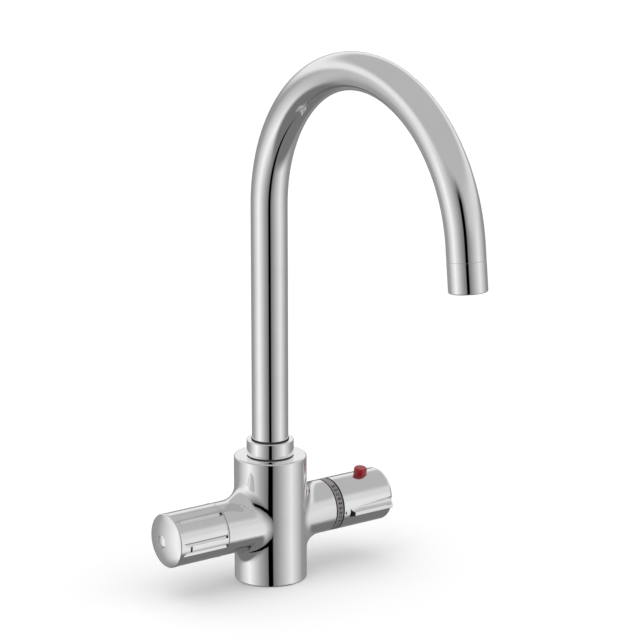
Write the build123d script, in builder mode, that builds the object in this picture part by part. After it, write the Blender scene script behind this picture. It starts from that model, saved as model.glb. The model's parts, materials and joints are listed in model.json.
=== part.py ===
"""Thermostatic kitchen mixer tap: upright body, swan-neck spout, flow handle and temperature knob.

Millimetres, +Z up. The origin is on the deck, on the body's upright axis. The spout points to -Y.
The flow handle is on the -X side and the temperature knob on the +X side, both on one level axis.
Angles round that axis are counted from the top towards the front.
"""
from build123d import *
from math import cos, pi, radians, sin
import os

# Clearances
seat_clearance = 0.05
running_clearance = 0.08
face_gap = 0.3
button_clearance = 0.15
edge_tolerance = 0.1

# Inlets and the check valves in them
hose_thread_radius = 5.5
inlet_radius = 5.2
inlet_offset_x = 6.5
inlet_offset_y = 10
hose_thread_depth = 7.8
strainer_thickness = 1.2
strainer_hole_radius = 0.7
strainer_hole_pitch = 1.9
strainer_hole_rings = 2
check_cage_length = 9
check_headroom = 3
check_cage_wall = 1
check_seat_thickness = 1.5
check_seat_bore = 2.6
check_poppet_thickness = 1.4
check_stem_radius = 1.2
check_stem_stand = 0.3
check_hole_radius = 0.95
check_hole_count = 6
inlet_port_radius = 2.8
inlet_port_length = 7.2

# Body
body_radius = 25
arm_radius = 18.35
arm_root_margin = 4.1
arm_blend = 12
arm_edge_round = 0.4
flow_arm_reach = 47
thermostat_arm_reach = 43.7
cavity_radius = 14.5
cavity_roof = 2.8
body_top_round = 1.2
body_base_round = 1.2
stud_hole_radius = 3.4
stud_hole_depth = 14
stud_offset_x = -12
stud_spacing = 20
base_seal_radius = 21.5
base_seal_section = 1.1
transfer_radius = 5
spout_port_radius = 3.5

# Spout and its socket
spout_radius = 12.5
spout_wall = 1.2
bend_radius = 104.7
bend_start_height = 263.2
bend_angle = 173.7
outlet_tail = 29.5
nipple_radius = 10.95
nipple_bore = 8.2
nipple_barrel = 14
nipple_spigot = 11
nipple_end_gap = 1
nipple_flange = 3
thrust_washer_thickness = 1
slip_ring_thickness = 1
collar_spigot_length = 8
collar_spigot_wall = 1.4
collar_height = 11.4
collar_shoulder = 2.2
collar_foot_chamfer = 0.3
collar_edge_round = 0.8
gasket_thickness = 0.6
gasket_inset = 0.3
wiper_width = 0.4
wiper_depth = 1.2
wiper_stand = 0.7
spout_ring_section = 0.85
spout_ring_pitch = 6

# Aerator
aerator_length = 20
aerator_spigot = 7
aerator_lip = 1.2
aerator_lip_width = 0.8
aerator_bore = 10.2
aerator_edge_round = 1
aerator_joint_chamfer = 0.3
aerator_floor = 1.6
aerator_cup_height = 8.8
aerator_cup_wall = 1.1
aerator_hole_radius = 0.85
aerator_hole_pitch = 2.4
aerator_hole_rings = 3
aerator_screen_thickness = 1
aerator_washer_thickness = 2
aerator_washer_width = 2.6

# Flow cartridge
flow_mouth_depth = 6
flow_cartridge_depth = 24
cartridge_thread_radius = 10.5
gallery_radius = 12.5
gallery_width = 8
seat_seal_thickness = 2.5
seat_seal_width = 3
ceramic_thickness = 3
ceramic_radius = 8.3
ceramic_port_width = 4.6
ceramic_port_inner = 3
ceramic_port_outer = 6.8
spindle_foot_thickness = 3
spindle_tang_width = 3
spindle_tang_depth = 1.5
spindle_radius = 5
spindle_thread_radius = 2.5
spindle_thread_depth = 9
drive_square = 7
drive_length = 9
flow_hex_across_flats = 24
flow_hex_thickness = 5
flow_neck_wall = 1.6
flow_neck_length = 6
clip_thickness = 1
clip_width = 1.2
flow_window_width = 9
small_ring_section = 0.5
cartridge_ring_section = 0.8

# Handles
drive_boss_wall = 3
drive_end_gap = 0.5
handle_web = 7
screw_shank_radius = 2.45
screw_head_radius = 4.2
screw_head_height = 5
screw_hex = 4
screw_reach = 5
cap_clearance = 0.3
cap_thickness = 4
cap_crown = 1.2
cap_stand = 0.7
flow_handle_proud = 0.25
flow_handle_gap = 0.6
flow_handle_length = 42.7
flow_dome_radius = 44
flow_rim_round = 0.8
flow_handle_wall = 3.1
flow_end_wall = 9
rib_count = 5
rib_width = 4.6
rib_angle = 98.5
pocket_depth = 1.3
pocket_start_margin = 0.6
pocket_end_margin = 2.2
pocket_corner = 4
pad_drop = 0.15
pad_round = 3

# Temperature knob, its scale ring, stops and button
scale_ring_width = 6.5
scale_ring_wall = 3.9
scale_groove_width = 0.9
scale_groove_depth = 0.5
scale_edge_round = 0.2
knob_proud = 0.05
knob_length = 42.8
knob_edge_round = 3
knob_wall = 3.4
knob_end_wall = 8
knob_drive_length = 11
knob_cap_round = 0.5
knob_angle = 9.4
knob_travel_back = 65
knob_travel_forward = 55
pointer_lag = 89
pointer_crest = 2.8
pointer_drop = 0.9
pointer_sweep = 4.2
pointer_stand = 2
pointer_edge_round = 0.5
pointer_root = 0.6
pointer_start = 4.2
pointer_slant = 4
pointer_end_margin = 0.5
pointer_end_slant = 1.5
scoop_angle = 7.3
scoop_lift = 1
scoop_start_radius = 0.6
scoop_end_radius = 3.2
button_radius = 4.6
button_top_round = 1.2
button_stand = 4.7
button_center = 24.7
button_flange_margin = 0.8
button_flange_thickness = 1.5
button_flange_depth = 1.2
button_tail_width = 3
button_tail_reach = 1.2
stop_ring_thickness = 3.5
stop_lug_angle = 12
stop_lug_depth = 2.6
stop_lug_length = 4.5
stop_margin = 1

# Thermostat cartridge
cavity_floor = -8
thermostat_floor = 3.2
thermostat_outlet_radius = 6
thermostat_first_land = 4
thermostat_land = 5
thermostat_gallery_depth = 2.4
thermostat_head = 14
thermostat_port_radius = 2
thermostat_port_count = 6
shuttle_radius = 9.92
shuttle_port_lap = 0.5
shuttle_wall = 1.5
shuttle_web = 3
shuttle_hole_radius = 1.2
shuttle_hole_count = 6
wax_collar_radius = 4.9
wax_collar_length = 4
wax_bulb_radius = 3.6
wax_bulb_length = 7.5
wax_neck_radius = 3
wax_neck_length = 3
wax_piston_radius = 1.6
wax_piston_length = 3.4
wax_head_thickness = 1
pressure_nut_across_flats = 13.9
pressure_nut_length = 5.5
pressure_cup_length = 6
pressure_cup_wall = 1.2
pressure_cup_margin = 0.1
pressure_nut_room = 1.5
thermostat_screw_radius = 3.9
thrust_flange_radius = 6.4
thrust_flange_thickness = 2.5
bearing_length = 5
thermostat_neck_wall = 3.6
thermostat_neck_stand = 2.3
thermostat_ring_section = 1
spanner_hole_radius = 1.5
spanner_hole_count = 2

# Spring wires
return_wire = 0.5
return_turns = 4
overload_wire = 0.5
overload_turns = 4
button_wire = 0.3
button_turns = 4
button_coil_radius = 1.9
check_wire = 0.25
check_turns = 4
check_coil_radius = 2.2

# Heights that follow from the stack above each other
check_cage_start = hose_thread_depth + strainer_thickness
inlet_depth = check_cage_start + check_cage_length + check_headroom
handle_height = inlet_depth + inlet_port_length + cavity_radius
socket_floor = handle_height + cavity_radius + cavity_roof
counterbore_floor = socket_floor + nipple_end_gap + nipple_barrel
flange_start = counterbore_floor + thrust_washer_thickness
spout_foot = flange_start + nipple_flange
collar_foot = spout_foot + slip_ring_thickness
body_height = collar_foot + collar_spigot_length
collar_top = body_height + collar_height

# Spout radii
spout_bore = spout_radius - spout_wall
socket_radius = nipple_radius + running_clearance
collar_bore = spout_radius + running_clearance
collar_spigot_radius = collar_bore + collar_spigot_wall
counterbore_radius = collar_spigot_radius + seat_clearance
nipple_flange_radius = counterbore_radius - running_clearance
collar_foot_radius = collar_spigot_radius + collar_shoulder
collar_seat = body_height + gasket_thickness
wiper_seat = collar_top - wiper_depth
wiper_seat_radius = collar_bore + wiper_width

# Flow side, counted outwards from the body's axis
flow_flange_seat = flow_arm_reach - flow_mouth_depth
flow_seat = flow_flange_seat - flow_cartridge_depth
fixed_disc_start = flow_seat + seat_seal_thickness
turning_disc_start = fixed_disc_start + ceramic_thickness
flow_foot_start = turning_disc_start + ceramic_thickness
flow_foot_end = flow_foot_start + spindle_foot_thickness
flow_hex_end = flow_flange_seat + flow_hex_thickness
flow_neck_end = flow_hex_end + flow_neck_length
flow_drive_start = flow_neck_end + 2 * clip_thickness
flow_spindle_end = flow_drive_start + drive_length
flow_boss_start = flow_drive_start
flow_web_start = flow_spindle_end + drive_end_gap
flow_head_seat = flow_web_start + handle_web
flow_handle_start = flow_arm_reach + flow_handle_gap
flow_handle_apex = flow_handle_start + flow_handle_length
flow_handle_radius = arm_radius + flow_handle_proud
cartridge_bore = cartridge_thread_radius - seat_clearance
chamber_radius = ceramic_radius + running_clearance
spindle_bore = spindle_radius + running_clearance
flow_gallery_start = turning_disc_start - gallery_width / 4

# Thermostat side, counted outwards from the body's axis
hot_gallery = cavity_floor + thermostat_first_land
cold_gallery = hot_gallery + gallery_width + thermostat_land
housing_shoulder = cold_gallery + gallery_width + thermostat_land + thermostat_head
shuttle_bore_start = cavity_floor + thermostat_floor
shuttle_start = hot_gallery + gallery_width / 2 + thermostat_port_radius + shuttle_port_lap
shuttle_end = cold_gallery + gallery_width / 2 - thermostat_port_radius - shuttle_port_lap
shuttle_web_start = (shuttle_start + shuttle_end - shuttle_web) / 2
wax_collar_start = (shuttle_start + shuttle_end - wax_collar_length) / 2
wax_piston_start = wax_collar_start + wax_collar_length + wax_neck_length
wax_head_start = wax_piston_start + wax_piston_length
pressure_cup_start = wax_head_start + pressure_cup_margin
pressure_nut_start = pressure_cup_start + pressure_cup_length
pressure_nut_end = pressure_nut_start + pressure_nut_length
hex_bore_start = pressure_nut_start - pressure_nut_room
thrust_start = pressure_nut_end + pressure_nut_room
bearing_start = thrust_start + thrust_flange_thickness
thermostat_neck_end = thermostat_arm_reach + thermostat_neck_stand
thermostat_neck_radius = spindle_bore + thermostat_neck_wall
knob_drive_start = thermostat_neck_end + face_gap
knob_spindle_end = knob_drive_start + knob_drive_length
knob_web_start = knob_spindle_end + drive_end_gap
knob_head_seat = knob_web_start + handle_web
scale_ring_end = thermostat_arm_reach + scale_ring_width
knob_start = scale_ring_end + face_gap
knob_end = knob_start + knob_length
knob_radius = arm_radius + knob_proud
knob_cavity_radius = knob_radius - knob_wall
knob_boss_start = thermostat_neck_end + 2 * face_gap
knob_cavity_end = knob_end - knob_end_wall
scale_ring_bore = arm_radius - scale_ring_wall
stop_face = thermostat_arm_reach + stop_ring_thickness
drive_boss_radius = drive_square / 2**0.5 + drive_boss_wall
drive_socket = drive_square + 2 * seat_clearance
screw_hole_radius = screw_shank_radius + seat_clearance
cap_radius = screw_head_radius + cap_clearance
cap_seat_radius = cap_radius + seat_clearance

# Button, measured from the knob's axis
button_x = knob_start + button_center
button_foot = knob_cavity_radius - button_flange_depth
button_flange_foot = button_foot - button_flange_thickness
button_tail_end = stop_face + button_tail_reach

# Reference planes and axes
handle_axis = Axis((0, 0, handle_height), (1, 0, 0))
flow_plane = Plane(origin=(0, 0, handle_height), x_dir=(-1, 0, 0), z_dir=(0, 1, 0))
thermostat_plane = Plane(origin=(0, 0, handle_height), x_dir=(1, 0, 0), z_dir=(0, -1, 0))
tail_angle = radians(bend_angle)
tail_start = (
    0,
    bend_radius * (cos(tail_angle) - 1),
    bend_start_height + bend_radius * sin(tail_angle),
)
outlet_direction = Vector(0, -sin(tail_angle), cos(tail_angle))
outlet_center = Vector(*tail_start) + outlet_direction * outlet_tail
outlet_plane = Plane(origin=outlet_center, x_dir=(1, 0, 0), z_dir=outlet_direction * -1)
inlets = {"hot": -inlet_offset_y, "cold": inlet_offset_y}
inlet_ports = {"hot": hot_gallery, "cold": cold_gallery}

os.makedirs("parts", exist_ok=True)


def cross_plane(x):
    """The plane square to the handle axis at a place along X, with its own y pointing up."""
    return Plane(origin=(x, 0, handle_height), x_dir=(0, 1, 0), z_dir=(1, 0, 0))


def outline(plane, *points):
    """A closed straight-sided profile on a plane."""
    with BuildSketch(plane) as profile:
        with BuildLine():
            Polyline(*points, close=True)
        make_face()
    return profile.sketch


def step(plane, start, end, inner_radius, outer_radius):
    """The profile of one plain step of a piece turned about the handle axis."""
    return outline(
        plane,
        (start, inner_radius),
        (end, inner_radius),
        (end, outer_radius),
        (start, outer_radius),
    )


def upright_step(bottom, top, inner_radius, outer_radius):
    """The profile of one plain step of a piece turned about the body's upright axis."""
    return outline(
        Plane.XZ,
        (inner_radius, bottom),
        (outer_radius, bottom),
        (outer_radius, top),
        (inner_radius, top),
    )


def ring_section(plane, place, inner_radius, section):
    """The round profile of an O-ring, seated on its groove's floor."""
    with BuildSketch(plane) as profile:
        with Locations((place, inner_radius + section)):
            Circle(section)
    return profile.sketch


def groove(plane, place, bore, section):
    """The profile of an O-ring's groove, cut in from a shaft of just less than the bore's size."""
    floor = ring_floor(bore, section)
    half_width = section + seat_clearance
    return step(plane, place - half_width, place + half_width, floor - seat_clearance, bore + section)


def ring_floor(bore, section):
    """The inner radius of an O-ring that just clears its bore."""
    return bore - seat_clearance - 2 * section


def rim_at(piece, axis, place):
    """The round edges of a piece at one place along an axis."""
    circles = piece.edges().filter_by(GeomType.CIRCLE)
    return circles.filter_by_position(axis, place - edge_tolerance, place + edge_tolerance)


def around(radius, angle):
    """A point on a cross plane, at an angle in radians from the top towards the front."""
    return (-radius * sin(angle), radius * cos(angle))


def hole_rings(ring_count, pitch):
    """The places of holes in rings about a middle one, six more in each ring."""
    places = [(0, 0)]
    for ring in range(1, ring_count + 1):
        hole_count = 6 * ring
        for hole in range(hole_count):
            turn = 2 * pi * hole / hole_count
            places.append((ring * pitch * cos(turn), ring * pitch * sin(turn)))
    return places


def coil(plane, length, turns, coil_radius, wire):
    """A round-wire spring along a plane's normal, standing inside the given length."""
    rise = length - 2 * wire - 2 * seat_clearance
    with BuildPart() as spring:
        with BuildLine():
            path = Helix(rise / turns, rise, coil_radius, center=(0, 0, wire + seat_clearance))
        with BuildSketch(Plane(origin=path @ 0, z_dir=path % 0)):
            Circle(wire)
        sweep(path=path, is_frenet=True)
    return spring.part.moved(plane.location)


def save(piece, name):
    """Names a finished piece and writes it."""
    piece.part.label = name
    export_step(piece.part, f"parts/{name}.step")


# Body casting: barrel and arms that widen towards it, with the sockets, cavities and passages cut into it
with BuildPart() as body_casting:
    Cylinder(body_radius, body_height, align=(Align.CENTER, Align.CENTER, Align.MIN))
    for arm_end in (-flow_arm_reach, thermostat_arm_reach):
        with BuildSketch(cross_plane(0)):
            Ellipse(body_radius - arm_root_margin, arm_radius)
        with BuildSketch(cross_plane(arm_end)):
            Circle(arm_radius)
        loft(ruled=True)
    arm_roots = [
        edge
        for edge in body_casting.edges().filter_by(GeomType.BSPLINE)
        if abs(Vector(edge.center().X, edge.center().Y).length - body_radius) < edge_tolerance
    ]
    fillet(arm_roots, arm_blend)
    fillet(rim_at(body_casting, Axis.Z, body_height), body_top_round)
    fillet(rim_at(body_casting, Axis.Z, 0), body_base_round)
    fillet(body_casting.faces().sort_by(Axis.X)[0].edges(), arm_edge_round)
    fillet(body_casting.faces().sort_by(Axis.X)[-1].edges(), arm_edge_round)
    # Spout socket and the collar's counterbore
    revolve(
        outline(
            Plane.XZ,
            (0, socket_floor),
            (socket_radius, socket_floor),
            (socket_radius, counterbore_floor),
            (counterbore_radius, counterbore_floor),
            (counterbore_radius, body_height),
            (0, body_height),
        ),
        axis=Axis.Z,
        mode=Mode.SUBTRACT,
    )
    # Flow cavity with its outlet gallery and mouth
    revolve(
        outline(
            flow_plane,
            (flow_seat, 0),
            (flow_seat, cartridge_thread_radius),
            (flow_gallery_start, cartridge_thread_radius),
            (flow_gallery_start, gallery_radius),
            (flow_gallery_start + gallery_width, gallery_radius),
            (flow_gallery_start + gallery_width, cartridge_thread_radius),
            (flow_flange_seat, cartridge_thread_radius),
            (flow_flange_seat, cavity_radius),
            (flow_arm_reach, cavity_radius),
            (flow_arm_reach, 0),
        ),
        axis=handle_axis,
        mode=Mode.SUBTRACT,
    )
    # Thermostat cavity and the mixed-water passage between the two cavities
    revolve(
        step(thermostat_plane, cavity_floor, thermostat_arm_reach, 0, cavity_radius),
        axis=handle_axis,
        mode=Mode.SUBTRACT,
    )
    revolve(
        step(thermostat_plane, -flow_seat, cavity_floor, 0, transfer_radius),
        axis=handle_axis,
        mode=Mode.SUBTRACT,
    )
    # Slanted passage from the flow gallery up to the spout socket
    port_low = Vector(-(flow_gallery_start + gallery_width / 2), 0, handle_height + cartridge_thread_radius)
    port_high = Vector(-socket_radius + spout_port_radius / 2, 0, socket_floor + spout_port_radius)
    with BuildSketch(Plane(origin=port_low, z_dir=port_high - port_low)):
        Circle(spout_port_radius)
    extrude(amount=(port_high - port_low).length, mode=Mode.SUBTRACT)
    # Hot and cold inlets, each with a narrow port up to its own gallery
    for side, inlet_y in inlets.items():
        with BuildSketch():
            with Locations((inlet_offset_x, inlet_y)):
                Circle(inlet_radius)
        extrude(amount=inlet_depth, mode=Mode.SUBTRACT)
        with BuildSketch():
            with Locations((inlet_offset_x, inlet_y)):
                Circle(hose_thread_radius)
        extrude(amount=hose_thread_depth, mode=Mode.SUBTRACT)
        with BuildSketch(Plane.XY.offset(inlet_depth)):
            with Locations((inlet_ports[side] + gallery_width / 2, inlet_y)):
                Circle(inlet_port_radius)
        extrude(amount=inlet_port_length + cavity_radius / 2, mode=Mode.SUBTRACT)
        with BuildSketch(Plane.XY.offset(inlet_depth - check_headroom)):
            with Locations((inlet_ports[side] + gallery_width / 2, inlet_y)):
                Circle(inlet_port_radius)
        extrude(amount=check_headroom, mode=Mode.SUBTRACT)
    # Tapped holes for the fixing studs, and the seal's groove
    with BuildSketch():
        with Locations((stud_offset_x, 0)):
            with GridLocations(0, stud_spacing, 1, 2):
                Circle(stud_hole_radius)
    extrude(amount=stud_hole_depth, mode=Mode.SUBTRACT)
    revolve(
        upright_step(
            0,
            2 * base_seal_section + 2 * seat_clearance,
            base_seal_radius - base_seal_section - seat_clearance,
            base_seal_radius + base_seal_section + seat_clearance,
        ),
        axis=Axis.Z,
        mode=Mode.SUBTRACT,
    )
save(body_casting, "body_casting")

with BuildPart() as base_seal:
    with BuildSketch(Plane.XZ):
        with Locations((base_seal_radius, base_seal_section + seat_clearance)):
            Circle(base_seal_section)
    revolve(axis=Axis.Z)
save(base_seal, "base_seal")

# Inlet strainers and check valves, one set for each inlet
check_bore = inlet_radius - seat_clearance
check_cage_bore = check_bore - check_cage_wall
poppet_start = check_cage_start + check_seat_thickness
spider_start = check_cage_start + check_cage_length - check_seat_thickness
for side, inlet_y in inlets.items():
    inlet_axis = (inlet_offset_x, inlet_y)
    with BuildPart() as strainer:
        with BuildSketch(Plane.XY.offset(hose_thread_depth)):
            with Locations(inlet_axis):
                Circle(check_bore)
                with Locations(*hole_rings(strainer_hole_rings, strainer_hole_pitch)):
                    Circle(strainer_hole_radius, mode=Mode.SUBTRACT)
        extrude(amount=strainer_thickness)
    save(strainer, f"{side}_strainer")

    with BuildPart() as cage:
        with BuildSketch(Plane.XY.offset(check_cage_start)):
            with Locations(inlet_axis):
                Circle(check_bore)
        extrude(amount=check_cage_length)
        with BuildSketch(Plane.XY.offset(poppet_start)):
            with Locations(inlet_axis):
                Circle(check_cage_bore)
        extrude(amount=spider_start - poppet_start, mode=Mode.SUBTRACT)
        with BuildSketch(Plane.XY.offset(check_cage_start)):
            with Locations(inlet_axis):
                Circle(check_seat_bore)
        extrude(amount=check_seat_thickness, mode=Mode.SUBTRACT)
        with BuildSketch(Plane.XY.offset(spider_start)):
            with Locations(inlet_axis):
                Circle(check_stem_radius + running_clearance)
                with PolarLocations((check_stem_radius + check_cage_bore) / 2, check_hole_count):
                    Circle(check_hole_radius)
        extrude(amount=check_seat_thickness, mode=Mode.SUBTRACT)
    save(cage, f"{side}_check_cage")

    with BuildPart() as poppet:
        with BuildSketch(Plane.XY.offset(poppet_start)):
            with Locations(inlet_axis):
                Circle((check_seat_bore + check_cage_bore) / 2)
        extrude(amount=check_poppet_thickness)
        with BuildSketch(Plane.XY.offset(poppet_start)):
            with Locations(inlet_axis):
                Circle(check_stem_radius)
        extrude(amount=spider_start + check_seat_thickness + check_stem_stand - poppet_start)
    save(poppet, f"{side}_check_poppet")

    poppet_back = poppet_start + check_poppet_thickness
    with BuildPart() as check_spring:
        add(
            coil(
                Plane(origin=(inlet_offset_x, inlet_y, poppet_back)),
                spider_start - poppet_back,
                check_turns,
                check_coil_radius,
                check_wire,
            )
        )
    save(check_spring, f"{side}_check_spring")

# Spout collar: plain ring with a spigot screwed into the body, the gasket under it and the wiper in it
with BuildPart() as spout_collar:
    revolve(
        outline(
            Plane.XZ,
            (collar_foot_radius, collar_seat + collar_foot_chamfer),
            (collar_foot_radius - collar_foot_chamfer, collar_seat),
            (collar_spigot_radius, collar_seat),
            (collar_spigot_radius, collar_foot),
            (collar_bore, collar_foot),
            (collar_bore, wiper_seat),
            (wiper_seat_radius, wiper_seat),
            (wiper_seat_radius, collar_top),
            (collar_foot_radius, collar_top),
        ),
        axis=Axis.Z,
    )
    fillet(
        spout_collar.edges().filter_by(GeomType.CIRCLE).group_by(Axis.Z)[-1].sort_by(SortBy.RADIUS)[-1],
        collar_edge_round,
    )
save(spout_collar, "spout_collar")

with BuildPart() as collar_gasket:
    revolve(
        upright_step(
            body_height,
            collar_seat,
            collar_spigot_radius + seat_clearance,
            collar_foot_radius - gasket_inset,
        ),
        axis=Axis.Z,
    )
save(collar_gasket, "collar_gasket")

with BuildPart() as spout_wiper:
    revolve(
        upright_step(
            wiper_seat,
            collar_top + wiper_stand,
            collar_bore,
            wiper_seat_radius - seat_clearance,
        ),
        axis=Axis.Z,
    )
save(spout_wiper, "spout_wiper")

# Spout tube: riser, bend and straight tail
with BuildPart() as spout_tube:
    with BuildLine(Plane.YZ) as spout_path:
        Line((0, spout_foot), (0, bend_start_height))
        bend = CenterArc((-bend_radius, bend_start_height), bend_radius, 0, bend_angle)
        Line(bend @ 1, bend @ 1 + outlet_direction * (outlet_tail - aerator_length))
    with BuildSketch(Plane.XY.offset(spout_foot)):
        Circle(spout_radius)
        Circle(spout_bore, mode=Mode.SUBTRACT)
    sweep(path=spout_path.line)
save(spout_tube, "spout_tube")

# Spout nipple, its seals and the rings that it turns between
spout_ring_floor = ring_floor(socket_radius, spout_ring_section)
spout_ring_middle = (socket_floor + nipple_end_gap + counterbore_floor) / 2
spout_ring_heights = [spout_ring_middle - spout_ring_pitch / 2, spout_ring_middle + spout_ring_pitch / 2]
with BuildPart() as spout_nipple:
    revolve(
        outline(
            Plane.XZ,
            (nipple_bore, socket_floor + nipple_end_gap),
            (nipple_radius, socket_floor + nipple_end_gap),
            (nipple_radius, flange_start),
            (nipple_flange_radius, flange_start),
            (nipple_flange_radius, spout_foot),
            (spout_bore - seat_clearance, spout_foot),
            (spout_bore - seat_clearance, spout_foot + nipple_spigot),
            (nipple_bore, spout_foot + nipple_spigot),
        ),
        axis=Axis.Z,
    )
    for height in spout_ring_heights:
        half_width = spout_ring_section + seat_clearance
        revolve(
            upright_step(
                height - half_width,
                height + half_width,
                spout_ring_floor - seat_clearance,
                socket_radius + spout_ring_section,
            ),
            axis=Axis.Z,
            mode=Mode.SUBTRACT,
        )
save(spout_nipple, "spout_nipple")

with BuildPart() as spout_o_rings:
    for height in spout_ring_heights:
        with BuildSketch(Plane.XZ):
            with Locations((spout_ring_floor + spout_ring_section, height)):
                Circle(spout_ring_section)
        revolve(axis=Axis.Z)
save(spout_o_rings, "spout_o_rings")

with BuildPart() as spout_thrust_washer:
    revolve(
        upright_step(
            counterbore_floor,
            flange_start,
            nipple_radius + running_clearance,
            counterbore_radius - seat_clearance,
        ),
        axis=Axis.Z,
    )
save(spout_thrust_washer, "spout_thrust_washer")

with BuildPart() as spout_slip_ring:
    revolve(
        upright_step(spout_foot, collar_foot, collar_bore, counterbore_radius - seat_clearance),
        axis=Axis.Z,
    )
save(spout_slip_ring, "spout_slip_ring")

# Aerator: flush housing with the cup, screen and washer inside it
aerator_fit = aerator_bore - seat_clearance
with BuildPart() as aerator_housing:
    with BuildSketch(outlet_plane):
        Circle(spout_radius)
    extrude(amount=aerator_length)
    housing_rims = aerator_housing.edges().filter_by(GeomType.CIRCLE)
    housing_rims = housing_rims.sort_by(Axis(outlet_center, outlet_plane.z_dir))
    fillet(housing_rims[0], aerator_edge_round)
    chamfer(housing_rims[-1], aerator_joint_chamfer)
    with BuildSketch(outlet_plane.offset(aerator_length)):
        Circle(spout_bore - seat_clearance)
    extrude(amount=aerator_spigot)
    with BuildSketch(outlet_plane):
        Circle(aerator_bore - aerator_lip_width)
    extrude(amount=aerator_lip, mode=Mode.SUBTRACT)
    with BuildSketch(outlet_plane.offset(aerator_lip)):
        Circle(aerator_bore)
    extrude(amount=aerator_length + aerator_spigot - aerator_lip, mode=Mode.SUBTRACT)
save(aerator_housing, "aerator_housing")

with BuildPart() as aerator_insert:
    with BuildSketch(outlet_plane.offset(aerator_lip)):
        Circle(aerator_fit)
    extrude(amount=aerator_cup_height)
    with BuildSketch(outlet_plane.offset(aerator_lip + aerator_floor)):
        Circle(aerator_fit - aerator_cup_wall)
    extrude(amount=aerator_cup_height - aerator_floor, mode=Mode.SUBTRACT)
    with BuildSketch(outlet_plane.offset(aerator_lip)):
        with Locations(*hole_rings(aerator_hole_rings, aerator_hole_pitch)):
            Circle(aerator_hole_radius)
    extrude(amount=aerator_floor, mode=Mode.SUBTRACT)
save(aerator_insert, "aerator_insert")

screen_plane = outlet_plane.offset(aerator_lip + aerator_cup_height)
with BuildPart() as aerator_screen:
    with BuildSketch(screen_plane):
        Circle(aerator_fit)
        with Locations(*hole_rings(aerator_hole_rings, aerator_hole_pitch)):
            Circle(aerator_hole_radius, mode=Mode.SUBTRACT)
    extrude(amount=aerator_screen_thickness)
save(aerator_screen, "aerator_screen")

with BuildPart() as aerator_washer:
    with BuildSketch(screen_plane.offset(aerator_screen_thickness)):
        Circle(aerator_fit)
        Circle(aerator_fit - aerator_washer_width, mode=Mode.SUBTRACT)
    extrude(amount=aerator_washer_thickness)
save(aerator_washer, "aerator_washer")

# Flow cartridge: body with hexagon, ceramic discs, spindle and seals
cartridge_ring_place = flow_flange_seat - 2 * cartridge_ring_section
flow_ring_places = [flow_foot_end + 4 * small_ring_section, flow_flange_seat]
with BuildPart() as flow_cartridge_body:
    revolve(
        outline(
            flow_plane,
            (flow_seat + seat_clearance, chamber_radius),
            (flow_seat + seat_clearance, cartridge_bore),
            (flow_flange_seat, cartridge_bore),
            (flow_flange_seat, spindle_bore + flow_neck_wall),
            (flow_neck_end, spindle_bore + flow_neck_wall),
            (flow_neck_end, spindle_bore),
            (flow_foot_end + running_clearance, spindle_bore),
            (flow_foot_end + running_clearance, chamber_radius),
        ),
        axis=handle_axis,
    )
    with BuildSketch(cross_plane(-flow_hex_end)):
        RegularPolygon(flow_hex_across_flats / 2, 6, major_radius=False)
        Circle(spindle_bore, mode=Mode.SUBTRACT)
    extrude(amount=flow_hex_thickness)
    with BuildSketch(cross_plane(-flow_foot_start)):
        Rectangle(4 * cartridge_bore, flow_window_width)
    extrude(amount=ceramic_thickness, mode=Mode.SUBTRACT)
    revolve(
        groove(flow_plane, cartridge_ring_place, cartridge_thread_radius, cartridge_ring_section),
        axis=handle_axis,
        mode=Mode.SUBTRACT,
    )
save(flow_cartridge_body, "flow_cartridge_body")

with BuildPart() as flow_cartridge_o_ring:
    revolve(
        ring_section(
            flow_plane,
            cartridge_ring_place,
            ring_floor(cartridge_thread_radius, cartridge_ring_section),
            cartridge_ring_section,
        ),
        axis=handle_axis,
    )
save(flow_cartridge_o_ring, "flow_cartridge_o_ring")

with BuildPart() as flow_seat_seal:
    revolve(
        step(flow_plane, flow_seat, fixed_disc_start, ceramic_radius - seat_seal_width, ceramic_radius),
        axis=handle_axis,
    )
save(flow_seat_seal, "flow_seat_seal")


def disc_ports(turn):
    """Two facing ports of a ceramic disc, cut from a ring."""
    with BuildSketch() as ports:
        Circle(ceramic_port_outer)
        Circle(ceramic_port_inner, mode=Mode.SUBTRACT)
        Rectangle(2 * ceramic_radius, ceramic_port_width, mode=Mode.INTERSECT)
    return ports.sketch.rotate(Axis.Z, turn)


with BuildPart() as fixed_ceramic_disc:
    with BuildSketch(cross_plane(-turning_disc_start)):
        Circle(ceramic_radius)
        add(disc_ports(0), mode=Mode.SUBTRACT)
    extrude(amount=ceramic_thickness)
save(fixed_ceramic_disc, "fixed_ceramic_disc")

with BuildPart() as turning_ceramic_disc:
    with BuildSketch(cross_plane(-flow_foot_start)):
        Circle(ceramic_radius)
        add(disc_ports(90), mode=Mode.SUBTRACT)
    extrude(amount=ceramic_thickness)
    with BuildSketch(cross_plane(-flow_foot_start)):
        Rectangle(2 * ceramic_port_inner, spindle_tang_width + 2 * seat_clearance)
    extrude(amount=spindle_tang_depth + seat_clearance, mode=Mode.SUBTRACT)
save(turning_ceramic_disc, "turning_ceramic_disc")

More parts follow.
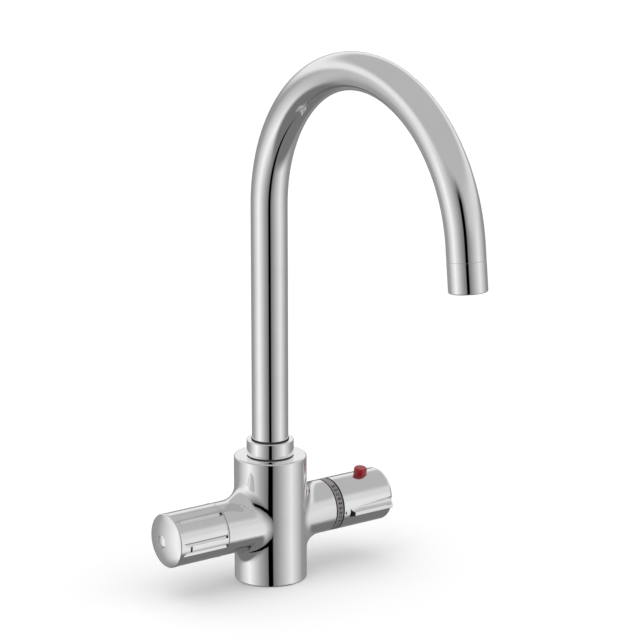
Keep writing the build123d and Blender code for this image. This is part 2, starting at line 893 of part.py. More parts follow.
with BuildPart() as flow_spindle:
    revolve(
        outline(
            flow_plane,
            (flow_foot_start, 0),
            (flow_foot_start, ceramic_port_inner),
            (flow_foot_end, ceramic_radius),
            (flow_foot_end, spindle_radius),
            (flow_drive_start, spindle_radius),
            (flow_drive_start, 0),
        ),
        axis=handle_axis,
    )
    with BuildSketch(cross_plane(-flow_foot_start)):
        Rectangle(2 * ceramic_port_inner - 2 * seat_clearance, spindle_tang_width)
    extrude(amount=spindle_tang_depth)
    with BuildSketch(cross_plane(-flow_spindle_end)):
        Rectangle(drive_square, drive_square)
    extrude(amount=drive_length)
    revolve(
        step(
            flow_plane,
            flow_spindle_end - spindle_thread_depth,
            flow_spindle_end,
            0,
            spindle_thread_radius,
        ),
        axis=handle_axis,
        mode=Mode.SUBTRACT,
    )
    for place in flow_ring_places:
        revolve(
            groove(flow_plane, place, spindle_bore, small_ring_section),
            axis=handle_axis,
            mode=Mode.SUBTRACT,
        )
    revolve(
        step(
            flow_plane,
            flow_neck_end + running_clearance,
            flow_neck_end + 2 * running_clearance + clip_thickness,
            spindle_radius - clip_width / 2,
            spindle_radius + clip_width,
        ),
        axis=handle_axis,
        mode=Mode.SUBTRACT,
    )
save(flow_spindle, "flow_spindle")

with BuildPart() as flow_spindle_o_rings:
    for place in flow_ring_places:
        revolve(
            ring_section(
                flow_plane,
                place,
                ring_floor(spindle_bore, small_ring_section),
                small_ring_section,
            ),
            axis=handle_axis,
        )
save(flow_spindle_o_rings, "flow_spindle_o_rings")

with BuildPart() as flow_spindle_clip:
    clip_start = flow_neck_end + 1.5 * running_clearance
    revolve(
        step(
            flow_plane,
            clip_start,
            clip_start + clip_thickness,
            spindle_radius - clip_width / 2 + seat_clearance,
            spindle_radius + clip_width,
        ),
        axis=handle_axis,
    )
    with BuildSketch(cross_plane(-clip_start - clip_thickness)):
        with Locations((0, -spindle_radius)):
            Rectangle(spindle_radius, 2 * spindle_radius)
    extrude(amount=clip_thickness, mode=Mode.SUBTRACT)
save(flow_spindle_clip, "flow_spindle_clip")

# Flow handle: domed shell with ribs, and a rounded pad between each two of them
pocket_floor = flow_handle_radius - pocket_depth
dome_edge = flow_handle_apex - flow_dome_radius + (flow_dome_radius**2 - flow_handle_radius**2) ** 0.5
pocket_start = flow_handle_start + pocket_start_margin
pocket_end = dome_edge - pocket_end_margin
pocket_half_angle = pi / rib_count - rib_width / 2 / flow_handle_radius
pocket_reach = 2 * flow_handle_radius


def pocket_block(end, inner_radius, outer_radius):
    """A curved block between two ribs, from the handle's inner end outwards to a place along it."""
    with BuildPart() as block:
        with BuildSketch(cross_plane(-end)):
            Circle(outer_radius)
            Circle(inner_radius, mode=Mode.SUBTRACT)
            with BuildLine():
                Polyline(
                    (0, 0),
                    around(pocket_reach, -pocket_half_angle),
                    around(pocket_reach, pocket_half_angle),
                    close=True,
                )
            make_face(mode=Mode.INTERSECT)
        extrude(amount=end - pocket_start)
    return block


with pocket_block(dome_edge, pocket_floor - pad_round, flow_handle_radius - pad_drop) as grip_pad:
    fillet(grip_pad.edges().filter_by(Axis.X).group_by(Axis.Z)[-1], pad_round)

with pocket_block(pocket_end, pocket_floor, flow_handle_radius + pocket_depth) as grip_pocket:
    fillet(grip_pocket.edges().group_by(Axis.X)[0].filter_by(GeomType.LINE), pocket_corner)
    add(grip_pad.part, mode=Mode.SUBTRACT)

flow_cavity_radius = pocket_floor - flow_handle_wall
flow_cavity_end = flow_handle_apex - flow_end_wall
with BuildPart() as flow_handle:
    with BuildSketch(flow_plane):
        with BuildLine():
            Polyline(
                (flow_handle_apex, 0),
                (flow_handle_start, 0),
                (flow_handle_start, flow_handle_radius),
                (dome_edge, flow_handle_radius),
            )
            RadiusArc((dome_edge, flow_handle_radius), (flow_handle_apex, 0), flow_dome_radius)
        make_face()
    revolve(axis=handle_axis)
    fillet(rim_at(flow_handle, Axis.X, -dome_edge), flow_rim_round)
    for rib in range(rib_count):
        turn = rib_angle + 360 / rib_count * (rib + 0.5)
        add(grip_pocket.part.rotate(handle_axis, turn), mode=Mode.SUBTRACT)
    revolve(
        outline(
            flow_plane,
            (flow_handle_start, 0),
            (flow_handle_start, flow_cavity_radius),
            (flow_cavity_end, flow_cavity_radius),
            (flow_cavity_end, drive_boss_radius),
            (flow_boss_start, drive_boss_radius),
            (flow_boss_start, 0),
        ),
        axis=handle_axis,
        mode=Mode.SUBTRACT,
    )
    with BuildSketch(cross_plane(-flow_web_start)):
        Rectangle(drive_socket, drive_socket)
    extrude(amount=flow_web_start - flow_boss_start, mode=Mode.SUBTRACT)
    revolve(
        outline(
            flow_plane,
            (flow_web_start, 0),
            (flow_web_start, screw_hole_radius),
            (flow_head_seat, screw_hole_radius),
            (flow_head_seat, cap_seat_radius),
            (flow_handle_apex, cap_seat_radius),
            (flow_handle_apex, 0),
        ),
        axis=handle_axis,
        mode=Mode.SUBTRACT,
    )
save(flow_handle, "flow_handle")


def cap_screw(plane, head_seat, thread_end):
    """A socket-head screw along the handle axis, with its hexagon left for a separate cut."""
    return outline(
        plane,
        (thread_end, 0),
        (thread_end, screw_shank_radius),
        (head_seat, screw_shank_radius),
        (head_seat, screw_head_radius),
        (head_seat + screw_head_height, screw_head_radius),
        (head_seat + screw_head_height, 0),
    )


with BuildPart() as flow_handle_screw:
    revolve(cap_screw(flow_plane, flow_head_seat, flow_spindle_end - screw_reach), axis=handle_axis)
    with BuildSketch(cross_plane(-flow_head_seat - screw_head_height)):
        RegularPolygon(screw_hex / 2, 6, major_radius=False)
    extrude(amount=screw_head_height / 2, mode=Mode.SUBTRACT)
save(flow_handle_screw, "flow_handle_screw")

with BuildPart() as flow_index_cap:
    cap_tip = flow_handle_apex + cap_stand
    cap_face = cap_tip - cap_crown
    cap_crown_radius = (cap_radius**2 + cap_crown**2) / (2 * cap_crown)
    with BuildSketch(flow_plane):
        with BuildLine():
            Polyline(
                (cap_tip, 0),
                (cap_face - cap_thickness, 0),
                (cap_face - cap_thickness, cap_radius),
                (cap_face, cap_radius),
            )
            RadiusArc((cap_face, cap_radius), (cap_tip, 0), cap_crown_radius)
        make_face()
    revolve(axis=handle_axis)
save(flow_index_cap, "flow_index_cap")

# Thermostat cartridge housing with its galleries, seals and retaining nut
housing_radius = cavity_radius - seat_clearance
shuttle_bore = shuttle_radius + running_clearance
gallery_floor = housing_radius - thermostat_gallery_depth
hex_bore_flats = pressure_nut_across_flats + 2 * running_clearance
thermostat_ring_places = [
    cavity_floor + thermostat_first_land / 2,
    hot_gallery + gallery_width + thermostat_land / 2,
    cold_gallery + gallery_width + thermostat_land / 2,
]
with BuildPart() as thermostat_housing:
    revolve(
        outline(
            thermostat_plane,
            (cavity_floor, thermostat_outlet_radius),
            (cavity_floor, housing_radius),
            (housing_shoulder, housing_radius),
            (housing_shoulder, thermostat_neck_radius),
            (thermostat_neck_end, thermostat_neck_radius),
            (thermostat_neck_end, spindle_bore),
            (hex_bore_start, spindle_bore),
            (hex_bore_start, shuttle_bore),
            (shuttle_bore_start, shuttle_bore),
            (shuttle_bore_start, thermostat_outlet_radius),
        ),
        axis=handle_axis,
    )
    with BuildSketch(cross_plane(hex_bore_start)):
        RegularPolygon(hex_bore_flats / 2, 6, major_radius=False)
    extrude(amount=bearing_start - hex_bore_start, mode=Mode.SUBTRACT)
    for gallery in inlet_ports.values():
        revolve(
            step(thermostat_plane, gallery, gallery + gallery_width, gallery_floor, cavity_radius),
            axis=handle_axis,
            mode=Mode.SUBTRACT,
        )
        for port in range(thermostat_port_count):
            turn = 2 * pi * port / thermostat_port_count
            port_plane = Plane(
                origin=(gallery + gallery_width / 2, 0, handle_height),
                z_dir=(0, sin(turn), cos(turn)),
            )
            with BuildSketch(port_plane):
                Circle(thermostat_port_radius)
            extrude(amount=cavity_radius, mode=Mode.SUBTRACT)
    for place in thermostat_ring_places:
        revolve(
            groove(thermostat_plane, place, cavity_radius, thermostat_ring_section),
            axis=handle_axis,
            mode=Mode.SUBTRACT,
        )
save(thermostat_housing, "thermostat_housing")

with BuildPart() as thermostat_o_rings:
    for place in thermostat_ring_places:
        revolve(
            ring_section(
                thermostat_plane,
                place,
                ring_floor(cavity_radius, thermostat_ring_section),
                thermostat_ring_section,
            ),
            axis=handle_axis,
        )
save(thermostat_o_rings, "thermostat_o_rings")

with BuildPart() as thermostat_nut:
    revolve(
        step(
            thermostat_plane,
            housing_shoulder,
            thermostat_arm_reach,
            thermostat_neck_radius + seat_clearance,
            housing_radius,
        ),
        axis=handle_axis,
    )
    with BuildSketch(cross_plane(thermostat_arm_reach)):
        with PolarLocations((thermostat_neck_radius + housing_radius) / 2, spanner_hole_count):
            Circle(spanner_hole_radius)
    extrude(amount=-(thermostat_arm_reach - housing_shoulder) / 2, mode=Mode.SUBTRACT)
save(thermostat_nut, "thermostat_nut")

# Shuttle, wax element, keyed nut and springs of the thermostat
shuttle_inner = shuttle_radius - shuttle_wall
with BuildPart() as thermostat_shuttle:
    revolve(
        step(thermostat_plane, shuttle_start, shuttle_end, shuttle_inner, shuttle_radius),
        axis=handle_axis,
    )
    revolve(
        step(
            thermostat_plane,
            shuttle_web_start,
            shuttle_web_start + shuttle_web,
            wax_collar_radius + seat_clearance,
            shuttle_inner,
        ),
        axis=handle_axis,
    )
    with BuildSketch(cross_plane(shuttle_web_start)):
        with PolarLocations((wax_collar_radius + shuttle_inner) / 2, shuttle_hole_count):
            Circle(shuttle_hole_radius)
    extrude(amount=shuttle_web, mode=Mode.SUBTRACT)
save(thermostat_shuttle, "thermostat_shuttle")

with BuildPart() as wax_element:
    wax_head_radius = pressure_nut_across_flats / 2 - pressure_cup_wall - seat_clearance
    revolve(
        outline(
            thermostat_plane,
            (wax_collar_start - wax_bulb_length, 0),
            (wax_collar_start - wax_bulb_length, wax_bulb_radius),
            (wax_collar_start, wax_bulb_radius),
            (wax_collar_start, wax_collar_radius),
            (wax_collar_start + wax_collar_length, wax_collar_radius),
            (wax_collar_start + wax_collar_length, wax_neck_radius),
            (wax_piston_start, wax_neck_radius),
            (wax_piston_start, wax_piston_radius),
            (wax_head_start, wax_piston_radius),
            (wax_head_start, wax_head_radius),
            (wax_head_start + wax_head_thickness, wax_head_radius),
            (wax_head_start + wax_head_thickness, 0),
        ),
        axis=handle_axis,
    )
save(wax_element, "wax_element")

with BuildPart() as pressure_nut:
    with BuildSketch(cross_plane(pressure_nut_start)):
        RegularPolygon(pressure_nut_across_flats / 2, 6, major_radius=False)
        Circle(thermostat_screw_radius + running_clearance, mode=Mode.SUBTRACT)
    extrude(amount=pressure_nut_length)
    with BuildSketch(cross_plane(pressure_cup_start)):
        Circle(pressure_nut_across_flats / 2)
        Circle(pressure_nut_across_flats / 2 - pressure_cup_wall, mode=Mode.SUBTRACT)
    extrude(amount=pressure_cup_length)
save(pressure_nut, "pressure_nut")

with BuildPart() as overload_spring:
    overload_start = wax_head_start + wax_head_thickness
    add(
        coil(
            cross_plane(overload_start),
            pressure_nut_start - overload_start,
            overload_turns,
            wax_head_radius - 2 * overload_wire,
            overload_wire,
        )
    )
save(overload_spring, "overload_spring")

with BuildPart() as return_spring:
    add(
        coil(
            cross_plane(shuttle_bore_start),
            shuttle_web_start - shuttle_bore_start,
            return_turns,
            shuttle_inner - 2 * return_wire,
            return_wire,
        )
    )
save(return_spring, "return_spring")

# Temperature spindle: screw, thrust flange, journal and square end
knob_ring_place = bearing_start + 2 * bearing_length / 3
with BuildPart() as temperature_spindle:
    revolve(
        outline(
            thermostat_plane,
            (pressure_nut_start, 0),
            (pressure_nut_start, thermostat_screw_radius),
            (thrust_start, thermostat_screw_radius),
            (thrust_start, thrust_flange_radius),
            (bearing_start, thrust_flange_radius),
            (bearing_start, spindle_radius),
            (knob_drive_start, spindle_radius),
            (knob_drive_start, 0),
        ),
        axis=handle_axis,
    )
    with BuildSketch(cross_plane(knob_drive_start)):
        Rectangle(drive_square, drive_square)
    extrude(amount=knob_spindle_end - knob_drive_start)
    revolve(
        step(
            thermostat_plane,
            knob_spindle_end - spindle_thread_depth,
            knob_spindle_end,
            0,
            spindle_thread_radius,
        ),
        axis=handle_axis,
        mode=Mode.SUBTRACT,
    )
    revolve(
        groove(thermostat_plane, knob_ring_place, spindle_bore, small_ring_section),
        axis=handle_axis,
        mode=Mode.SUBTRACT,
    )
save(temperature_spindle, "temperature_spindle")

with BuildPart() as temperature_spindle_o_ring:
    revolve(
        ring_section(
            thermostat_plane,
            knob_ring_place,
            ring_floor(spindle_bore, small_ring_section),
            small_ring_section,
        ),
        axis=handle_axis,
    )
save(temperature_spindle_o_ring, "temperature_spindle_o_ring")

# Scale ring against the arm, and the stop ring inside it
with BuildPart() as scale_ring:
    revolve(
        outline(
            thermostat_plane,
            (thermostat_arm_reach, scale_ring_bore),
            (thermostat_arm_reach, arm_radius - scale_groove_depth),
            (thermostat_arm_reach + scale_groove_width, arm_radius - scale_groove_depth),
            (thermostat_arm_reach + scale_groove_width, arm_radius),
            (scale_ring_end - scale_groove_width, arm_radius),
            (scale_ring_end - scale_groove_width, arm_radius - scale_groove_depth),
            (scale_ring_end, arm_radius - scale_groove_depth),
            (scale_ring_end, scale_ring_bore),
        ),
        axis=handle_axis,
    )
    fillet(
        scale_ring.edges().filter_by(GeomType.CIRCLE).group_by(SortBy.RADIUS)[-1],
        scale_edge_round,
    )
save(scale_ring, "scale_ring")

stop_ring_radius = scale_ring_bore - seat_clearance
tail_half_angle = button_tail_width / 2 / button_flange_foot * 180 / pi
stop_lug_turns = [
    knob_angle + knob_travel_forward + tail_half_angle + stop_lug_angle / 2 + stop_margin,
    knob_angle - knob_travel_back - tail_half_angle - stop_lug_angle / 2 - stop_margin,
]
with BuildPart() as stop_lug:
    with BuildSketch(cross_plane(stop_face)):
        Circle(stop_ring_radius)
        Circle(stop_ring_radius - stop_lug_depth, mode=Mode.SUBTRACT)
        with BuildLine():
            Polyline(
                (0, 0),
                around(2 * stop_ring_radius, -radians(stop_lug_angle / 2)),
                around(2 * stop_ring_radius, radians(stop_lug_angle / 2)),
                close=True,
            )
        make_face(mode=Mode.INTERSECT)
    extrude(amount=stop_lug_length)

with BuildPart() as stop_ring:
    revolve(
        step(
            thermostat_plane,
            thermostat_arm_reach,
            stop_face,
            thermostat_neck_radius + seat_clearance,
            stop_ring_radius,
        ),
        axis=handle_axis,
    )
    for turn in stop_lug_turns:
        add(stop_lug.part.rotate(handle_axis, turn))
save(stop_ring, "stop_ring")

# Temperature knob: shell, pointer rib with the scoop above it, and the button's slot
pointer_x = knob_start + pointer_start
pointer_end = knob_end - pointer_end_margin
pointer_top = knob_radius + pointer_stand
pointer_foot = knob_radius - pointer_root
pointer_low = pointer_crest + pointer_drop
with BuildPart() as pointer_rib:
    with BuildSketch(cross_plane(pointer_x)):
        with BuildLine():
            Polyline(
                (0, pointer_top),
                (-pointer_crest, pointer_top),
                (-pointer_low, pointer_foot),
                (pointer_sweep, pointer_foot),
            )
            ThreePointArc(
                (pointer_sweep, pointer_foot),
                (pointer_sweep / 3, knob_radius + pointer_stand / 4),
                (0, pointer_top),
            )
        make_face()
    extrude(amount=pointer_end - pointer_x)
    fillet(pointer_rib.edges().filter_by(Axis.X).group_by(Axis.Z)[-1], pointer_edge_round)
    with BuildSketch(thermostat_plane):
        with BuildLine():
            Polyline(
                (pointer_x, pointer_foot),
                (pointer_x, 2 * pointer_top - pointer_foot),
                (pointer_x + 2 * pointer_slant, 2 * pointer_top - pointer_foot),
                close=True,
            )
        make_face()
        with BuildLine():
            Polyline(
                (pointer_end, pointer_foot),
                (pointer_end, 2 * pointer_top - pointer_foot),
                (pointer_end - 2 * pointer_end_slant, 2 * pointer_top - pointer_foot),
                close=True,
            )
        make_face()
    extrude(amount=2 * pointer_low, both=True, mode=Mode.SUBTRACT)

with BuildPart() as pointer_scoop:
    with BuildSketch(cross_plane(pointer_x)):
        with Locations((0, knob_radius + scoop_lift)):
            Circle(scoop_start_radius)
    with BuildSketch(cross_plane(knob_end)):
        with Locations((0, knob_radius + scoop_lift)):
            Circle(scoop_end_radius)
    loft()

button_plane = Plane(origin=(button_x, 0, handle_height))
with BuildPart() as button_slot:
    with BuildSketch(button_plane.offset(button_foot)):
        Circle(button_radius + button_clearance)
    extrude(amount=pointer_top - button_foot)

pointer_turn = knob_angle + pointer_lag
with BuildPart() as temperature_knob:
    revolve(step(thermostat_plane, knob_start, knob_end, 0, knob_radius), axis=handle_axis)
    fillet(temperature_knob.faces().sort_by(Axis.X)[-1].edges(), knob_edge_round)
    add(pointer_rib.part.rotate(handle_axis, pointer_turn))
    add(pointer_scoop.part.rotate(handle_axis, pointer_turn - scoop_angle), mode=Mode.SUBTRACT)
    revolve(
        outline(
            thermostat_plane,
            (knob_start, 0),
            (knob_start, knob_cavity_radius),
            (knob_cavity_end, knob_cavity_radius),
            (knob_cavity_end, 0),
        ),
        axis=handle_axis,
        mode=Mode.SUBTRACT,
    )
    revolve(
        step(thermostat_plane, knob_boss_start, knob_cavity_end, 0, drive_boss_radius),
        axis=handle_axis,
    )
    with BuildSketch(cross_plane(knob_boss_start)):
        Rectangle(drive_socket, drive_socket)
    extrude(amount=knob_web_start - knob_boss_start, mode=Mode.SUBTRACT)
    revolve(
        outline(
            thermostat_plane,
            (knob_web_start, 0),
            (knob_web_start, screw_hole_radius),
            (knob_head_seat, screw_hole_radius),
            (knob_head_seat, cap_seat_radius),
            (knob_end, cap_seat_radius),
            (knob_end, 0),
        ),
        axis=handle_axis,
        mode=Mode.SUBTRACT,
    )
    add(button_slot.part.rotate(handle_axis, knob_angle), mode=Mode.SUBTRACT)
save(temperature_knob, "temperature_knob")

with BuildPart() as knob_screw:
    revolve(cap_screw(thermostat_plane, knob_head_seat, knob_spindle_end - screw_reach), axis=handle_axis)
    with BuildSketch(cross_plane(knob_head_seat + screw_head_height)):
        RegularPolygon(screw_hex / 2, 6, major_radius=False)
    extrude(amount=-screw_head_height / 2, mode=Mode.SUBTRACT)
save(knob_screw, "knob_screw")

with BuildPart() as knob_end_cap:
    revolve(step(thermostat_plane, knob_end - cap_thickness, knob_end, 0, cap_radius), axis=handle_axis)
    fillet(knob_end_cap.faces().sort_by(Axis.X)[-1].edges(), knob_cap_round)
save(knob_end_cap, "knob_end_cap")

# Override button: round key with a retaining flange and a tail that meets the stops
with BuildPart() as upright_button:
    with BuildSketch(button_plane.offset(button_foot)):
        Circle(button_radius)
    extrude(amount=knob_radius + button_stand - button_foot)
    fillet(upright_button.faces().sort_by(Axis.Z)[-1].edges(), button_top_round)
    with BuildSketch(button_plane.offset(button_flange_foot)):
        Circle(button_radius + button_flange_margin)
    extrude(amount=button_flange_thickness)
    with BuildSketch(Plane(origin=(button_tail_end, 0, handle_height + button_flange_foot))):
        Rectangle(
            button_x - button_tail_end,
            button_tail_width,
            align=(Align.MIN, Align.CENTER),
        )
    extrude(amount=button_flange_thickness)

with BuildPart() as override_button:
    add(upright_button.part.rotate(handle_axis, knob_angle))
save(override_button, "override_button")

with BuildPart() as button_spring:
    add(
        coil(
            button_plane.offset(drive_boss_radius),
            button_flange_foot - drive_boss_radius,
            button_turns,
            button_coil_radius,
            button_wire,
        ).rotate(handle_axis, knob_angle)
    )
save(button_spring, "button_spring")
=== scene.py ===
import json
import math

import bmesh
import bpy
from mathutils import Matrix, Vector


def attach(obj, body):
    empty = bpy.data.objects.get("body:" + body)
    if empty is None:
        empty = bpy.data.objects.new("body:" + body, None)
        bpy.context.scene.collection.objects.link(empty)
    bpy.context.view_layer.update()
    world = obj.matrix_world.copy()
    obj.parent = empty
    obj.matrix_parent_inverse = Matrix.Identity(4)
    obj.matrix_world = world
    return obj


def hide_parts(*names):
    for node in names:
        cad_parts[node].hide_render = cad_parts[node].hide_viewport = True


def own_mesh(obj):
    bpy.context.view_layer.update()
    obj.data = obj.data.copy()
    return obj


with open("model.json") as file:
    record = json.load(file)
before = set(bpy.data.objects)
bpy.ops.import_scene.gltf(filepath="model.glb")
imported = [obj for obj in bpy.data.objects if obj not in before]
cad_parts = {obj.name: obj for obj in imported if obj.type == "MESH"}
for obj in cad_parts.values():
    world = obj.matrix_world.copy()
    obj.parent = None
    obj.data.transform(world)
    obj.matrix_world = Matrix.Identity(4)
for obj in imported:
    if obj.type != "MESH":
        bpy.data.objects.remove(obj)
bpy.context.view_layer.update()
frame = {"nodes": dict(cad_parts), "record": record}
nodes = frame["nodes"]
scene = bpy.context.scene
scene.view_settings.view_transform = "Standard"

MM = 0.001
ARM_AXIS_Z = 42.7 * MM
ARM_RADIUS = 18.35 * MM

# Camera at the photograph's viewing angle.
CAMERA_AZIMUTH = math.radians(-35.38)
CAMERA_YAW = math.radians(-1.01)
CAMERA_PITCH = math.radians(14.6)
CAMERA_DISTANCE = 1.93947
CAMERA_HEIGHT = 0.6884
SENSOR_WIDTH = 36
LENS_LENGTH = 166.05
CLIP_START = 0.05

camera_data = bpy.data.cameras.new("camera")
camera_data.sensor_width = SENSOR_WIDTH
camera_data.lens = LENS_LENGTH
camera_data.clip_start = CLIP_START
camera = bpy.data.objects.new("camera", camera_data)
scene.collection.objects.link(camera)
camera.location = (
    math.sin(CAMERA_AZIMUTH) * CAMERA_DISTANCE,
    -math.cos(CAMERA_AZIMUTH) * CAMERA_DISTANCE,
    CAMERA_HEIGHT,
)
heading = CAMERA_AZIMUTH + CAMERA_YAW
look = Vector((
    -math.sin(heading) * math.cos(CAMERA_PITCH),
    math.cos(heading) * math.cos(CAMERA_PITCH),
    -math.sin(CAMERA_PITCH),
))
camera.rotation_euler = look.to_track_quat("-Z", "Y").to_euler()
scene.camera = camera


# Materials. Noise sets how colour, roughness and bump vary over a surface.
NOISE_DETAIL = 3
NOISE_ROUGHNESS = 0.5
NOISE_LOW = 0.3
NOISE_HIGH = 0.7
BUMP_DISTANCE = 0.02 * MM
COAT_ROUGHNESS = 0.05
METAL_SHEEN_SCALE = 2.3
METAL_BUMP_SCALE = 9
PLASTIC_SHEEN_SCALE = 4
PLASTIC_BUMP_SCALE = 12


class Nodes:
    """Adds shader nodes to one material and links them."""

    def __init__(self, name):
        self.material = bpy.data.materials.new(name)
        self.material.use_nodes = True
        self.tree = self.material.node_tree
        self.shader = self.tree.nodes["Principled BSDF"]

    def add(self, kind):
        return self.tree.nodes.new(kind)

    def link(self, source, target):
        self.tree.links.new(source, target)

    def noise(self, scale):
        coordinates = self.add("ShaderNodeTexCoord")
        noise = self.add("ShaderNodeTexNoise")
        noise.inputs["Scale"].default_value = scale
        noise.inputs["Detail"].default_value = NOISE_DETAIL
        noise.inputs["Roughness"].default_value = NOISE_ROUGHNESS
        self.link(coordinates.outputs["Object"], noise.inputs["Vector"])
        return noise.outputs["Fac"]

    def spread(self, value, low, high):
        mapped = self.add("ShaderNodeMapRange")
        mapped.inputs["From Min"].default_value = NOISE_LOW
        mapped.inputs["From Max"].default_value = NOISE_HIGH
        mapped.inputs["To Min"].default_value = low
        mapped.inputs["To Max"].default_value = high
        self.link(value, mapped.inputs["Value"])
        return mapped.outputs["Result"]

    def blend(self, value, first, second):
        ramp = self.add("ShaderNodeValToRGB")
        ramp.color_ramp.elements[0].position = NOISE_LOW
        ramp.color_ramp.elements[1].position = NOISE_HIGH
        ramp.color_ramp.elements[0].color = (*first, 1)
        ramp.color_ramp.elements[1].color = (*second, 1)
        self.link(value, ramp.inputs["Fac"])
        return ramp.outputs["Color"]

    def bump(self, height, strength):
        node = self.add("ShaderNodeBump")
        node.inputs["Strength"].default_value = strength
        node.inputs["Distance"].default_value = BUMP_DISTANCE
        self.link(height, node.inputs["Height"])
        self.link(node.outputs["Normal"], self.shader.inputs["Normal"])


def metal(name, first, second, low, high, grain, bump):
    made = Nodes(name)
    made.shader.inputs["Metallic"].default_value = 1
    cloud = made.noise(grain)
    made.link(made.blend(cloud, first, second), made.shader.inputs["Base Color"])
    made.link(made.spread(made.noise(grain * METAL_SHEEN_SCALE), low, high), made.shader.inputs["Roughness"])
    if bump:
        made.bump(made.noise(grain * METAL_BUMP_SCALE), bump)
    return made.material


def plastic(name, first, second, low, high, grain, bump, coat=0.0):
    made = Nodes(name)
    made.link(made.blend(made.noise(grain), first, second), made.shader.inputs["Base Color"])
    made.link(made.spread(made.noise(grain * PLASTIC_SHEEN_SCALE), low, high), made.shader.inputs["Roughness"])
    made.bump(made.noise(grain * PLASTIC_BUMP_SCALE), bump)
    if coat:
        made.shader.inputs["Coat Weight"].default_value = coat
        made.shader.inputs["Coat Roughness"].default_value = COAT_ROUGHNESS
    return made.material


materials = {
    "chrome": metal("chrome", (0.80, 0.80, 0.805), (0.83, 0.83, 0.835), 0.025, 0.05, 60, 0),
    "scale_grey": plastic("scale_grey", (0.225, 0.205, 0.205), (0.26, 0.24, 0.24), 0.30, 0.42, 240, 0.25),
    "red_plastic": plastic("red_plastic", (0.26, 0.003, 0.007), (0.32, 0.005, 0.011), 0.16, 0.24, 160, 0.06, 0.15),
    "brass": metal("brass", (0.70, 0.53, 0.25), (0.80, 0.63, 0.33), 0.18, 0.34, 300, 0.2),
    "steel": metal("steel", (0.56, 0.56, 0.57), (0.66, 0.66, 0.67), 0.16, 0.30, 400, 0.15),
    "rubber": plastic("rubber", (0.018, 0.018, 0.019), (0.035, 0.035, 0.036), 0.55, 0.75, 300, 0.4),
    "white_plastic": plastic("white_plastic", (0.74, 0.74, 0.71), (0.82, 0.82, 0.79), 0.38, 0.5, 200, 0.2),
    "grey_plastic": plastic("grey_plastic", (0.25, 0.25, 0.26), (0.32, 0.32, 0.33), 0.36, 0.5, 200, 0.2),
    "ceramic": plastic("ceramic", (0.84, 0.84, 0.82), (0.9, 0.9, 0.88), 0.08, 0.16, 120, 0.05),
    "ink": plastic("ink", (0.016, 0.014, 0.015), (0.028, 0.025, 0.026), 0.35, 0.5, 300, 0.15),
}

slot_names = {part["node"]: part["material_slot"] for part in frame["record"]["subparts"]}
for node, slot_name in slot_names.items():
    slots = nodes[node].data.materials
    slots.clear()
    slots.append(materials[slot_name])


# Printed marks: thin solids laid on a cylinder about the arms' axis, cut into steps so that they follow it.
INK_THICKNESS = 0.03 * MM
MARK_THICKNESS = 0.04 * MM
STEP_LENGTH = 0.3 * MM
WELD_DISTANCE = 0.001 * MM


def on_arm(x, angle, radius):
    """The point at x along the arms' axis, with angle measured from the top towards the front."""
    return Vector((x, -radius * math.sin(angle), ARM_AXIS_Z + radius * math.cos(angle)))


def printed(name, flat, radius, thickness, body, material):
    """Bends a flat bmesh onto a cylinder and gives it thickness.

    Its x runs along the arms' axis, and its y is an arc length.
    """
    top = max(v.co.y for v in flat.verts)
    low = min(v.co.y for v in flat.verts)
    for step in range(1, int((top - low) / STEP_LENGTH) + 1):
        geometry = flat.verts[:] + flat.edges[:] + flat.faces[:]
        bmesh.ops.bisect_plane(flat, geom=geometry, plane_co=(0, low + step * STEP_LENGTH, 0), plane_no=(0, 1, 0))
    bmesh.ops.remove_doubles(flat, verts=flat.verts[:], dist=WELD_DISTANCE)
    bmesh.ops.dissolve_degenerate(flat, edges=flat.edges[:], dist=WELD_DISTANCE)
    outer = bmesh.ops.extrude_face_region(flat, geom=flat.faces[:])
    lifted = {v for v in outer["geom"] if isinstance(v, bmesh.types.BMVert)}
    for v in flat.verts:
        height = radius + (thickness if v in lifted else -thickness)
        v.co = on_arm(v.co.x, v.co.y / radius, height)
    bmesh.ops.recalc_face_normals(flat, faces=flat.faces[:])
    mesh = bpy.data.meshes.new(name)
    flat.to_mesh(mesh)
    flat.free()
    piece = bpy.data.objects.new(name, mesh)
    scene.collection.objects.link(piece)
    mesh.materials.append(material)
    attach(piece, body)


NUMBER_WEIGHT = 0.032
NUMBER_RESOLUTION = 3


def number_mesh(text, size):
    """A number as a flat mesh centred on the origin, read with x to the right and y up."""
    curve = bpy.data.curves.new("number", "FONT")
    curve.body = text
    curve.size = size
    curve.align_x = "CENTER"
    curve.align_y = "CENTER"
    curve.resolution_u = NUMBER_RESOLUTION
    curve.offset = size * NUMBER_WEIGHT
    holder = bpy.data.objects.new("number", curve)
    scene.collection.objects.link(holder)
    bpy.context.view_layer.update()
    mesh = bpy.data.meshes.new_from_object(holder.evaluated_get(bpy.context.evaluated_depsgraph_get()))
    bpy.data.objects.remove(holder)
    bpy.data.curves.remove(curve)
    return mesh


RING_START = 43.7 * MM
RING_WIDTH = 6.5 * MM
NUMBER_SIZE = 3.1 * MM
NUMBER_PITCH = math.radians(10.5)
NUMBER_FIRST_ANGLE = math.radians(31.5)
NUMBERS = range(60, 12, -4)

numbers = bmesh.new()
for place, value in enumerate(NUMBERS):
    mesh = number_mesh(str(value), NUMBER_SIZE)
    shift = Matrix.Translation((
        RING_START + RING_WIDTH / 2,
        (NUMBER_FIRST_ANGLE + place * NUMBER_PITCH) * ARM_RADIUS,
        0,
    ))
    mesh.transform(shift @ Matrix.Diagonal((1, -1, 1, 1)))
    numbers.from_mesh(mesh)
    bpy.data.meshes.remove(mesh)
bmesh.ops.remove_doubles(numbers, verts=numbers.verts[:], dist=WELD_DISTANCE)
printed("scale_numbers", numbers, ARM_RADIUS, INK_THICKNESS, "body", materials["ink"])

